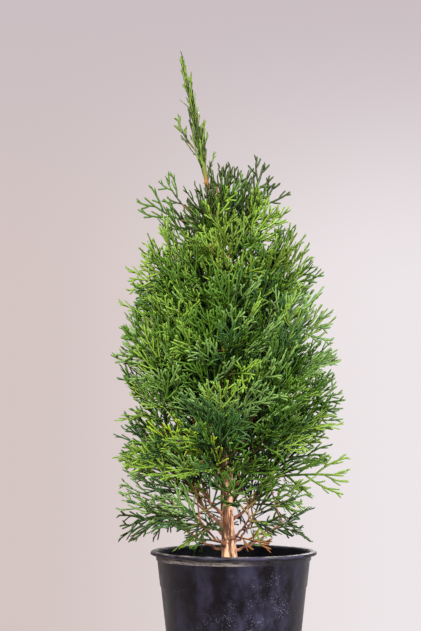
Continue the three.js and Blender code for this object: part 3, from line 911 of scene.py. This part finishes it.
def pot_material():
    """Worn black plastic: a scuffed collar and lip, the lip's top edge lighter as a painted
    highlight, faint dust that turns lighter and bluer to the right as a painted sheen, and clusters
    of dried specks.
    """
    material, shader = principled("pot_plastic", srgb(16, 13, 20), 0.4, 0.14)
    nodes = Nodes(material)
    height = nodes.axis("Z")
    side = nodes.axis("X")
    dust = nodes.noise(30, (1, 1, 0.55), 5, 0.65)
    # Dust, and a painted sheen: the ramp across x makes the plastic lighter and bluer towards the
    # right, as a reflection of the pale backdrop.
    dust_and_sheen = nodes.times(nodes.ranged(dust, 0.38, 0.7), nodes.ranged(side, -0.07, 0.07, 0.45, 1))
    colour = nodes.blend(dust_and_sheen, srgb(4, 2, 6), srgb(44, 42, 60))
    scuffs = nodes.noise(70, (1, 1, 5), 6, 0.7)
    flat = {0: nodes.stretched((1, 1, 0))}
    radius = nodes.add("ShaderNodeVectorMath", flat, operation="LENGTH").outputs["Value"]
    wall, low, high = WALL_TOP * MM, UNDER_COLLAR * MM, UNDER_LIP * MM
    outside = nodes.ranged(radius, wall + 0.0004, wall + 0.0014)
    collar = nodes.times(
        nodes.ranged(height, low - 0.0006, low + 0.0004),
        nodes.ranged(height, high + 0.0012, high - 0.0003),
    )
    worn = nodes.times(nodes.times(collar, outside), nodes.ranged(scuffs, 0.34, 0.62))
    rubbed = nodes.ranged(nodes.noise(11, detail=1), 0.46, 0.6)
    colour = nodes.blend(worn, colour, nodes.blend(rubbed, srgb(30, 27, 32), srgb(*SCUFF_AND_HIGHLIGHT)))
    # The lip's top 2 mm turn light grey where the scuffs allow: a painted highlight along the rim's
    # edge, broken up like wear.
    on_lip = nodes.ranged(height, POT_HEIGHT * MM - 0.002, POT_HEIGHT * MM)
    lip = nodes.times(on_lip, nodes.ranged(scuffs, 0.42, 0.6))
    colour = nodes.blend(lip, colour, srgb(*SCUFF_AND_HIGHLIGHT))
    clusters = nodes.ranged(nodes.noise(16, (1, 1, 1.2), 5, 0.8), 0.46, 0.62)
    patches = nodes.times(clusters, nodes.ranged(side, -0.03, 0.03, 0.3, 1))
    patches = nodes.times(patches, nodes.ranged(height, 0.168, 0.155, 0.15, 1))
    for scale, size in ((260, 0.18), (480, 0.25)):
        specks = nodes.add("ShaderNodeTexVoronoi", {"Vector": nodes.place, "Scale": scale})
        dots = nodes.times(nodes.ranged(specks.outputs["Distance"], size, size / 2), patches)
        colour = nodes.blend(dots, colour, srgb(122, 122, 136))
    nodes.feed(shader.inputs["Base Color"], colour)
    nodes.feed(shader.inputs["Roughness"], nodes.ranged(dust, 0.3, 0.75, 0.3, 0.6))
    nodes.feed(shader.inputs["Normal"], nodes.bump(scuffs, 0.1, 0.0004))
    return material


def soil_material():
    material, shader = principled("potting_mix", srgb(30, 24, 22), 0.95, 0.1)
    nodes = Nodes(material)
    crumbs = nodes.noise(160, detail=6, roughness=0.7)
    colour = nodes.blend(nodes.ranged(crumbs, 0.38, 0.66), srgb(14, 11, 11), srgb(52, 40, 33))
    nodes.feed(shader.inputs["Base Color"], colour)
    nodes.feed(shader.inputs["Normal"], nodes.bump(crumbs, 0.6, 0.002))
    return material


def leaf_materials():
    return [
        principled(f"leaf_{name}", srgb(*colour), 0.7 if name in WOODY else 0.5, 0.22)[0]
        for name, colour in LEAF_COLOURS.items()
    ]


# ---- the sprays' looks

LEAF_INDEX = {name: i for i, name in enumerate(LEAF_COLOURS)}
OVERHANG = 16
ROOM = np.array(cad_bounds) / MM + [[-OVERHANG], [OVERHANG]]

# How a template is bent to its place: across, along, and how far inward if it leaves the room.
# Shoots past a share of its length get the outer colour, finer ones from nearer its foot. Where the
# inner colour is the darker, a spray's foot carries painted shade.
BENT = Values(cup=0.2, twist=30, draw_in=0.95, order_tint=0.16, tinted_from=0.62)

# Where the crown's colours change: heights, and shares of its radius. Sprays inside the inner
# share, and those at the top or out on the shoulder, get darker greens as painted shade. One low
# spot is yellow.
ZONE = Values(top=680, shoulder=650, edge=0.95, inner=0.62, dark_wisps=0.8)
YELLOW = Values(centre=np.array([-42.0, -95.0, 335.0]), radius=58, low=290, share=0.42)

# The inner and outer colours to pick from above each height. A spray at the crown's surface picks
# one of the first five, any other spray one of the last five. The lowest row's darker picks paint
# the shade under the tiers.
PICKS = (
    (560, "mid fresh, deep mid, mid olive, deep fresh, deep mid"),
    (300, "mid fresh, mid fresh, mid fresh, blue pale, deep mid, deep mid, deep blue"),
    (235, "deep blue, mid fresh, blue pale, deep mid, deep olive"),
    (0, "deep dusk, dusk olive, deep blue, dusk mid, deep dusk"),
)


def spray_colours(place, draw):
    """The colours of a spray's inner and outer shoots, from where it stands in the crown. Inside
    the crown, at its top, at its foot and on the leader, darker greens paint shade.
    """
    tip = tip_of(place)
    chance = draw()
    if place.kind == "dead":
        return "rust", "rust"
    if place.kind in ("narrow", "wisp"):
        return ("dusk", "olive") if chance < ZONE.dark_wisps else ("olive", "dusk")
    if tip[2] > ZONE.top or (tip[2] > ZONE.shoulder and place.out > ZONE.edge):
        return ("mid", "dusk") if chance < 0.5 else ("dusk", "mid")
    in_spot = np.linalg.norm(tip - YELLOW.centre) < YELLOW.radius and tip[2] > YELLOW.low
    if in_spot and chance < YELLOW.share:
        return "fresh", "yellow"
    if place.out < ZONE.inner:
        return ("deep", "deep") if chance < 0.6 else ("deep", "mid")
    picks = next(picks for height, picks in PICKS if tip[2] > height).split(", ")
    picks = picks[:5] if place.outer else picks[-5:]
    return picks[int(chance * 5)].split()


def spray_mesh(place, draw):
    """A template bent, cupped and twisted to one spray's place, and kept near the CAD's box."""
    kind = templates["fan" if place.kind == "dead" else place.kind]
    gap = min(abs(template.length - place.length) for template in kind)
    near = [template for template in kind if abs(template.length - place.length) <= gap]
    template = near[int(draw() * len(near))]
    scale = place.length / template.length
    mirror = 1 if draw() < 0.5 else -1
    x, y, z = (template.points * (mirror * scale, scale, scale)).T
    share = y / place.length
    cup = mix(-BENT.cup, BENT.cup, draw()) / half_width_of(place.length, SPRAY.width)
    z = z + cup * x * x
    twist = math.radians(mix(-BENT.twist, BENT.twist, draw())) * share
    turned = np.stack([
        x * np.cos(twist) - z * np.sin(twist), y, x * np.sin(twist) + z * np.cos(twist)
    ], 1)
    heading = place.axes[1]
    rise = UP - heading * heading[2]
    sag = mix(*place.sag, draw()) * place.length * (share * share - share)
    points = place.root + turned @ place.axes + sag[:, None] * rise
    while ((points < ROOM[0]) | (points > ROOM[1])).any():
        points = mix(place.root, points, BENT.draw_in)
    faces = template.faces if mirror > 0 else template.faces[:, ::-1]
    inner, outer = spray_colours(place, draw)
    # Shoots nearer the foot take the inner colour, often the darker one: painted shade at the
    # spray's foot.
    tinted = template.shares + BENT.order_tint * template.orders > BENT.tinted_from
    shades = np.where(tinted, LEAF_INDEX[outer], LEAF_INDEX[inner])
    shades[template.orders == WOODY_ORDER] = LEAF_INDEX["stalk" if inner != "rust" else "rust"]
    return points, faces, shades


# ---- the leader's shoots

LEADER_SHOOTS = Values(
    count=17, low=672, high=842, lengths=(100, 40), lean=3, turn=137.5, rolls=(90, 60), past_tip=12
)
LEADER_TIP = np.array(LEADER.tip[0], float)


def leader_line(height):
    """The trunk's line, carried on straight to the leader's tip."""
    top = TRUNK_LINE[-1, 0]
    if height <= top:
        return trunk_at(height)
    return mix(trunk_at(top), LEADER_TIP, (height - top) / (LEADER_TIP[2] - top))


def plan_leader_shoots():
    """Short sprays that hug the leader all the way up."""
    shoots = LEADER_SHOOTS
    tip_mass = next(mass for mass in masses if mass.name == "leader_tip")
    for k in range(shoots.count):
        share = k / (shoots.count - 1)
        height = mix(shoots.low, shoots.high, share)
        root = leader_line(height)
        along = unit(leader_line(height + 4) - leader_line(height - 4))
        sideways = direction(math.radians(shoots.turn * k), 0.0)
        away = unit(along + math.tan(math.radians(shoots.lean)) * sideways)
        length = min(mix(*shoots.lengths, share), LEADER_TIP[2] - height + shoots.past_tip)
        roll = shoots.rolls[0] + shoots.rolls[1] * k
        tip_mass.placed.append(spray_to(root, root + away * length, roll, LEADER.width, "wisp"))


# The range of sag where sprays droop and where they turn up, which sprays are dead and which
# are open fans, each as a chance and a height.
HABIT = Values(
    droops_at=200, turns_up_at=550, sag_low=(-0.35, 0.1), sag_high=(0.05, 0.4), least_radius=40,
    dead=0.12, dead_below=450, open=0.35, open_above=660,
)


def settle_kinds():
    """Gives each spray its kind and its range of sag: low ones droop, high ones turn up."""
    for mass in masses:
        draw = random_from(mass.seed + 9000)
        for place in mass.placed:
            x, y, z = tip_of(place)
            up = (z - HABIT.droops_at) / (HABIT.turns_up_at - HABIT.droops_at)
            up = min(max(up, 0), 1)
            place.sag = [mix(low, high, up) for low, high in zip(HABIT.sag_low, HABIT.sag_high)]
            place.out = math.hypot(x - crown_axis(z), y)
            place.out /= max(crown_radius(z), HABIT.least_radius)
            chance = draw()
            if mass.level == 4 and z > ZONE.shoulder:
                place.kind = "open"
            if place.kind:
                continue
            if chance < HABIT.dead and z < HABIT.dead_below and place.out < ZONE.inner:
                place.kind = "dead"
            elif chance < HABIT.open or z > HABIT.open_above or mass.level == 0:
                place.kind = "open"
            else:
                place.kind = "fan"


# ---- trunk, boughs and twigs


def skin(rings, foot, top):
    """A closed mesh over rings of points, each of the same count, and a point at either end."""
    sides = len(rings[0])
    points = np.vstack([*rings, [foot], [top]])
    first = np.arange(sides)
    after = (first + 1) % sides
    faces = []
    for low in range(0, sides * (len(rings) - 1), sides):
        high = low + sides
        faces.append(np.stack([low + first, low + after, high + after], 1))
        faces.append(np.stack([low + first, high + after, high + first], 1))
    last = sides * (len(rings) - 1)
    faces.append(np.stack([after, first, np.full(sides, len(points) - 2)], 1))
    faces.append(np.stack([last + first, last + after, np.full(sides, len(points) - 1)], 1))
    return points, np.vstack(faces)


def tube(path, radii, sides, relief=None):
    """A closed tube along a path, with frames carried along it and its relief on top."""
    along = unit(np.gradient(path, axis=0))
    across = unit(np.cross(along[0], np.array([0.3, 1.0, 0.1])))
    angles = np.linspace(0, 2 * math.pi, sides, endpoint=False)[:, None]
    rings = []
    travelled = 0.0
    for i, centre in enumerate(path):
        across = unit(across - along[i] * across.dot(along[i]))
        other = np.cross(along[i], across)
        if i:
            travelled += np.linalg.norm(centre - path[i - 1])
        out = np.cos(angles) * across + np.sin(angles) * other
        radius = np.full(sides, radii[i])
        if relief:
            radius = radius + [relief(way, travelled, radii[i]) for way in out]
        rings.append(centre + out * radius[:, None])
    return skin(rings, path[0], path[-1])


# The bark's relief: strips as long as strip_length, with sharp edges, and cracks. Both wind
# around the wood at a scale that grows with its radius.
RELIEF = Values(
    scale=1.1, per_radius=0.16, strip_length=26, sharp=2.4, deepest=-0.6, strip=0.6,
    finer=2.6, crack_length=9, crack=0.5,
)


def bark_relief(depth, seed):
    """Long raised strips and fine cracks, deeper on thicker wood."""

    def relief(out, travelled, radius):
        around = Vector(out) * (RELIEF.scale + radius * RELIEF.per_radius)
        strips = noise.noise(around + Vector((seed, 0, travelled / RELIEF.strip_length)))
        along_cracks = Vector((0, seed, travelled / RELIEF.crack_length))
        cracks = noise.noise(around * RELIEF.finer + along_cracks)
        ridge = max(1 - abs(strips) * RELIEF.sharp, RELIEF.deepest)
        return depth * radius * (ridge * RELIEF.strip + cracks * RELIEF.crack)

    return relief


def trunk_mesh():
    heights = np.arange(SOIL_TOP - 1, TRUNK_LINE[-1, 0], 1.6)
    return tube(trunk_at(heights), trunk_radius(heights), 36, bark_relief(0.075, 3.7))


# How slim each tier's boughs are beside their solids, their collars at the trunk, and their
# sideways bows: how far each goes and how fast it turns.
SLIM = Values(tiers=(0.6, 0.66, 0.85, 0.9), collar=0.7, collar_reach=7, bows=((1.9, 8), (1.2, 19)))


def bough_mesh(mass):
    """A bough, slimmer than its solid, most of all in the low tiers, and a little crooked."""
    bough = mass.bough
    share = np.linspace(0.02, 1, 44)
    path = bezier(bough.points, share)
    reach = np.linalg.norm(bough.points[2] - bough.points[0])
    slim = SLIM.tiers[mass.level] + SLIM.collar * np.exp(-share * reach / SLIM.collar_reach)
    along = unit(np.gradient(path, axis=0))
    side = np.cross(along, UP)
    for size, rate in SLIM.bows:
        bow = np.sin(share * rate + mass.seed) * np.sin(share * math.pi)
        path = path + size * bow[:, None] * side
        side = np.cross(along, side)
    return tube(path, bough_radius(bough, share) * slim, 12, bark_relief(0.1, mass.seed))


STUBS = Values(count=22, share=(0.15, 0.8), rise=(-0.2, 1.1), lengths=(7, 22), radii=(1.5, 0.7))


def stub_meshes():
    """Short dead stubs where twigs of the three lower tiers have died back."""
    draw = random_from(77)
    boughs = [mass.bough for mass in masses if mass.bough and mass.level < 3]
    for _ in range(STUBS.count):
        bough = boughs[int(draw() * len(boughs))]
        root = bezier(bough.points, mix(*STUBS.share, draw()))
        way = direction(draw() * 2 * math.pi, mix(*STUBS.rise, draw()))
        length = mix(*STUBS.lengths, draw())
        side = direction(draw() * 2 * math.pi, 0.0)
        steps = np.linspace(0, 1, 6)[:, None]
        path = root + way * steps * length + side * steps * steps * length * 0.25
        yield tube(path, mix(*STUBS.radii, steps[:, 0]), 6)


# The radii of the twigs: each tier's at the foot, with the leader's last, their tips', and the
# leader's own from foot to tip.
TWIG = Values(feet=(1.3, 1.4, 1.6, 1.5, 1.3, 1.3), tip=0.9, leader=(1.5, 0.8))


def stem_mesh(mass):
    """The twig that a mass's sprays grow from: a softened bend, thinning to the last spray."""
    share = np.linspace(0, 1, 22)
    path = bent(mass.stem, share)
    path[1:-1] = (path[:-2] + path[1:-1] * 2 + path[2:]) / 4
    radii = mix(TWIG.feet[mass.level], TWIG.tip, share**0.8)
    return tube(path, radii, 8, bark_relief(0.07, mass.seed))


def leader_mesh():
    heights = np.linspace(TRUNK_LINE[-1, 0] - 3, LEADER_TIP[2] - 6, 24)
    path = np.array([leader_line(height) for height in heights])
    return tube(path, np.linspace(*TWIG.leader, 24), 8)


# ---- pot and soil

POT = Values(
    lip_height=5.2, lip_overhang=7.2, collar_height=8, collar_step=2.2, stack_step=1.2,
    stack_height=139, base_radius=82, wall=2.4, floor=3, drains=8, drain_radius=7, sides=144,
)
UNDER_LIP = POT_HEIGHT - POT.lip_height
UNDER_COLLAR = UNDER_LIP - POT.collar_height
COLLAR_RADIUS = RIM_RADIUS - POT.lip_overhang
WALL_TOP = COLLAR_RADIUS - POT.collar_step
WALL_SLOPE = (WALL_TOP - POT.stack_step - POT.base_radius) / UNDER_COLLAR


def inner_radius(height):
    return POT.base_radius - POT.wall + height * WALL_SLOPE


def pot_profile():
    at_stack = WALL_TOP - (UNDER_COLLAR - POT.stack_height) * WALL_SLOPE
    lip = RIM_RADIUS
    return [
        (0, 0),
        (POT.base_radius - 2, 0),
        (POT.base_radius - 0.6, 0.6),
        (POT.base_radius, 2),
        (at_stack - POT.stack_step, POT.stack_height - 2),
        (at_stack, POT.stack_height),
        (WALL_TOP, UNDER_COLLAR),
        (COLLAR_RADIUS - 0.6, UNDER_COLLAR + 1.5),
        (COLLAR_RADIUS, UNDER_LIP),
        (lip - 1, UNDER_LIP + 0.4),
        (lip - 0.2, UNDER_LIP + 1.1),
        (lip, UNDER_LIP + 2.2),
        (lip - 0.2, POT_HEIGHT - 2),
        (lip - 0.9, POT_HEIGHT - 0.8),
        (lip - 3, POT_HEIGHT),
        (COLLAR_RADIUS - 0.5, POT_HEIGHT - 0.4),
        (COLLAR_RADIUS - POT.wall, POT_HEIGHT - 3),
        (inner_radius(UNDER_COLLAR), UNDER_COLLAR - 3),
        (inner_radius(POT.floor), POT.floor),
        (0, POT.floor),
    ]


def lathe(profile, sides):
    """A closed solid of revolution whose profile starts and ends on the axis."""
    angles = np.linspace(0, 2 * math.pi, sides, endpoint=False)
    rings = [
        np.stack([r * np.cos(angles), r * np.sin(angles), np.full(sides, z)], 1)
        for r, z in profile[1:-1]
    ]
    return skin(rings, (0, 0, profile[0][1]), (0, 0, profile[-1][1]))


def cut_drains(pot):
    """Cuts the arched drain holes at the foot of the pot's wall."""
    holes = []
    for k in range(POT.drains):
        turn = 2 * math.pi * (k + 0.5) / POT.drains + math.pi / 2
        out = np.array([math.cos(turn), math.sin(turn), 0])
        path = out * [[POT.base_radius - 12], [POT.base_radius + 12]]
        holes.append(tube(path, [POT.drain_radius] * 2, 24))
    cutter = mesh_piece("drain_cutter", *join_meshes(holes), [])
    cut = pot.modifiers.new("drains", "BOOLEAN")
    cut.operation = "DIFFERENCE"
    cut.solver = "EXACT"
    cut.object = cutter
    seen = bpy.context.evaluated_depsgraph_get()
    mesh = bpy.data.meshes.new_from_object(pot.evaluated_get(seen))
    pot.modifiers.clear()
    pot.data = mesh
    bpy.data.objects.remove(cutter)


def add_pot():
    points, faces = lathe(pot_profile(), POT.sides)
    # The caps at either end come last. The two bands of faces before them are the wall's inside.
    band = np.arange(len(faces)) // (2 * POT.sides)
    is_inside = (band == band[-1] - 1) | (band == band[-1] - 2)
    # The wall's inside gets a darker, bluer copy of the plastic: painted shade in the pot's hollow.
    inside_shade_material = principled("pot_inside_shade", srgb(6, 7, 11), 0.6, 0.05)[0]
    pot = mesh_piece("nursery_pot", points, faces, [pot_material(), inside_shade_material], is_inside)
    cut_drains(pot)
    pot.data.set_sharp_from_angle(angle=math.radians(42))
    hand_over(pot, ["pot"])


# The potting mix: its gap to the pot, how far its edge lies below its top, how soon it is level,
# and its lumps, coarse and fine, each as their width and height.
SOIL = Values(gap=0.5, drop=3, rings=34, level=2.4, lumps=((16, 2.2), (5, 1.6)), sunk=1.2)


def add_soil():
    bottom = POT.floor + SOIL.gap
    low, high = SOIL_TOP - SOIL.drop, SOIL_TOP + SOIL_DOME
    edge = inner_radius(low) - SOIL.gap
    profile = [(0, bottom), (inner_radius(bottom) - SOIL.gap, bottom)]
    for k in range(SOIL.rings):
        share = k / SOIL.rings
        profile.append((edge * (1 - share), low + (high - low) * min(share * SOIL.level, 1)))
    points, faces = lathe([*profile, (0, high)], 120)
    for i in np.flatnonzero(points[:, 2] > SOIL_TOP - 2):
        place = Vector(points[i])
        points[i, 2] += sum(noise.noise(place / width) * tall for width, tall in SOIL.lumps)
        points[i, 2] -= SOIL.sunk
    soil = mesh_piece("potting_mix", points, faces, [soil_material()])
    hand_over(soil, ["soil"])


# The bark chips: their length, their width and thickness as shares of it, how far each corner
# is from its place on a box, their tilt, and how they settle from the level middle outward.
CHIPS = Values(
    count=300, long=(4, 13), wide=(0.3, 0.6), thick=(0.1, 0.2), corner=(0.7, 1.1),
    tilt=(-0.4, 0.4), radius=96, lie=2.6, level=60, fall=0.1,
)


def add_chips():
    """Bark chips strewn on the potting mix."""
    draw = random_from(515)
    box = np.array([(x, y, z) for x in (-1, 1) for y in (-1, 1) for z in (-1, 1)], float)
    box_faces = np.array([
        (0, 1, 3), (0, 3, 2), (4, 6, 7), (4, 7, 5), (0, 4, 5), (0, 5, 1),
        (2, 3, 7), (2, 7, 6), (0, 2, 6), (0, 6, 4), (1, 5, 7), (1, 7, 3),
    ])
    parts = []
    for _ in range(CHIPS.count):
        long = mix(*CHIPS.long, draw())
        size = [long, long * mix(*CHIPS.wide, draw()), long * mix(*CHIPS.thick, draw())]
        shape = box * size / 2 * [[mix(*CHIPS.corner, draw()) for _ in range(3)] for _ in box]
        x = direction(draw() * 2 * math.pi, mix(*CHIPS.tilt, draw()))
        y = unit(np.cross(UP, x))
        axes = np.stack([x, y, np.cross(x, y)])
        out = CHIPS.radius * math.sqrt(draw())
        place = out * direction(draw() * 2 * math.pi, 0.0)
        place[2] = SOIL_TOP + CHIPS.lie - max(0, out - CHIPS.level) * CHIPS.fall
        parts.append((shape @ axes + place, box_faces))
    material = principled("bark_chips", srgb(58, 42, 32), 0.9, 0.1)[0]
    chips = mesh_piece("soil_chips", *join_meshes(parts), [material], smooth=False)
    hand_over(chips, ["soil"])


# ---- putting the plant together


def add_wood():
    trunk = trunk_mesh()
    boughs = [bough_mesh(mass) for mass in masses if mass.bough] + list(stub_meshes())
    points, faces = join_meshes([trunk, *boughs])
    is_bough = np.arange(len(faces)) >= len(trunk[1])
    materials = [bark_material(), young_bark("bark_boughs", (66, 40, 30), (132, 86, 64))]
    wood = mesh_piece("bark_limbs", points, faces, materials, is_bough)
    hand_over(wood, ["trunk", *(mass.bough_name for mass in masses if mass.bough)])
    stems = [stem_mesh(mass) for mass in masses] + [leader_mesh()]
    material = young_bark("bark_young", (80, 46, 28), (136, 90, 62))
    twigs = mesh_piece("twigs", *join_meshes(stems), [material])
    hand_over(twigs, [mass.name for mass in masses])


def add_foliage():
    materials = leaf_materials()
    for level in range(len(TIERS) + 1):
        tier = [mass for mass in masses if mass.level == level]
        draw = random_from(300 + level)
        made = [spray_mesh(place, draw) for mass in tier for place in mass.placed]
        shades = np.concatenate([part[2] for part in made])
        name = f"foliage_{level + 1}" if level < len(TIERS) else "foliage_leader"
        piece = mesh_piece(name, *join_meshes([part[:2] for part in made]), materials, shades)
        hand_over(piece, [mass.name for mass in tier])


# ---- camera, light and floor

CAMERA = Values(place=(-0.031165, -1.7, 0.318793), pitch=96.2528, lens=70.54, sensor=36)
LIT_POINT = (0, 0, 0.4)
LIGHTS = (
    ("key", (-1.1, -2.2, 1.6), 0.7, 212, (1, 0.97, 0.92)),
    ("fill", (1.9, -1.4, 1.0), 1.0, 105, (0.91, 0.95, 1)),
    ("back", (0.7, 2.1, 1.7), 1.2, 58, (1, 0.98, 0.96)),
)
FLOOR_RADIUS = 0.52
BACKDROP = Values(
    left=(212, 197, 194), right=(238, 231, 233), side=0.16, high=(203, 191, 195),
    rise=(0.12, 0.36),
)


def add_camera():
    data = bpy.data.cameras.new("camera")
    data.lens = CAMERA.lens
    data.sensor_width = CAMERA.sensor
    camera = add_object("camera", data)
    camera.location = CAMERA.place
    camera.rotation_euler = (math.radians(CAMERA.pitch), 0, 0)
    bpy.context.scene.camera = camera


def add_lights():
    for name, place, size, power, colour in LIGHTS:
        data = bpy.data.lights.new(name, "AREA")
        data.shape = "DISK"
        data.size = size
        data.energy = power
        data.color = colour
        light = add_object(name, data)
        light.location = place
        towards = Vector(LIT_POINT) - Vector(place)
        light.rotation_euler = towards.to_track_quat("-Z", "Y").to_euler()


def add_world():
    """A pale backdrop without edges, pinker to the left and lighter to the right."""
    world = bpy.data.worlds.new("backdrop")
    bpy.context.scene.world = world
    world.use_nodes = True
    nodes = Nodes(world, "Generated")
    side = nodes.ranged(nodes.axis("X"), -BACKDROP.side, BACKDROP.side)
    rise = nodes.ranged(nodes.axis("Z"), *BACKDROP.rise)
    level = nodes.blend(side, srgb(*BACKDROP.left), srgb(*BACKDROP.right))
    background = nodes.tree.nodes["Background"]
    nodes.feed(background.inputs["Color"], nodes.blend(rise, level, srgb(*BACKDROP.high)))
    background.inputs["Strength"].default_value = 1


def add_floor():
    rim = FLOOR_RADIUS / MM
    points, faces = lathe([(0, -6), (rim - 1, -6), (rim, -1), (rim - 1, -0.05), (0, -0.05)], 128)
    material = principled("floor_pale", srgb(150, 144, 143), 0.8, 0.2)[0]
    mesh_piece("floor", points, faces, [material], smooth=False)


add_camera()
add_world()
add_lights()
add_floor()
bpy.context.scene.view_settings.view_transform = "Standard"

plan_sprays()
plan_outer_sprays()
plan_finer_sprays()
plan_leader_shoots()
settle_kinds()
add_pot()
add_soil()
add_chips()
add_wood()
add_foliage()
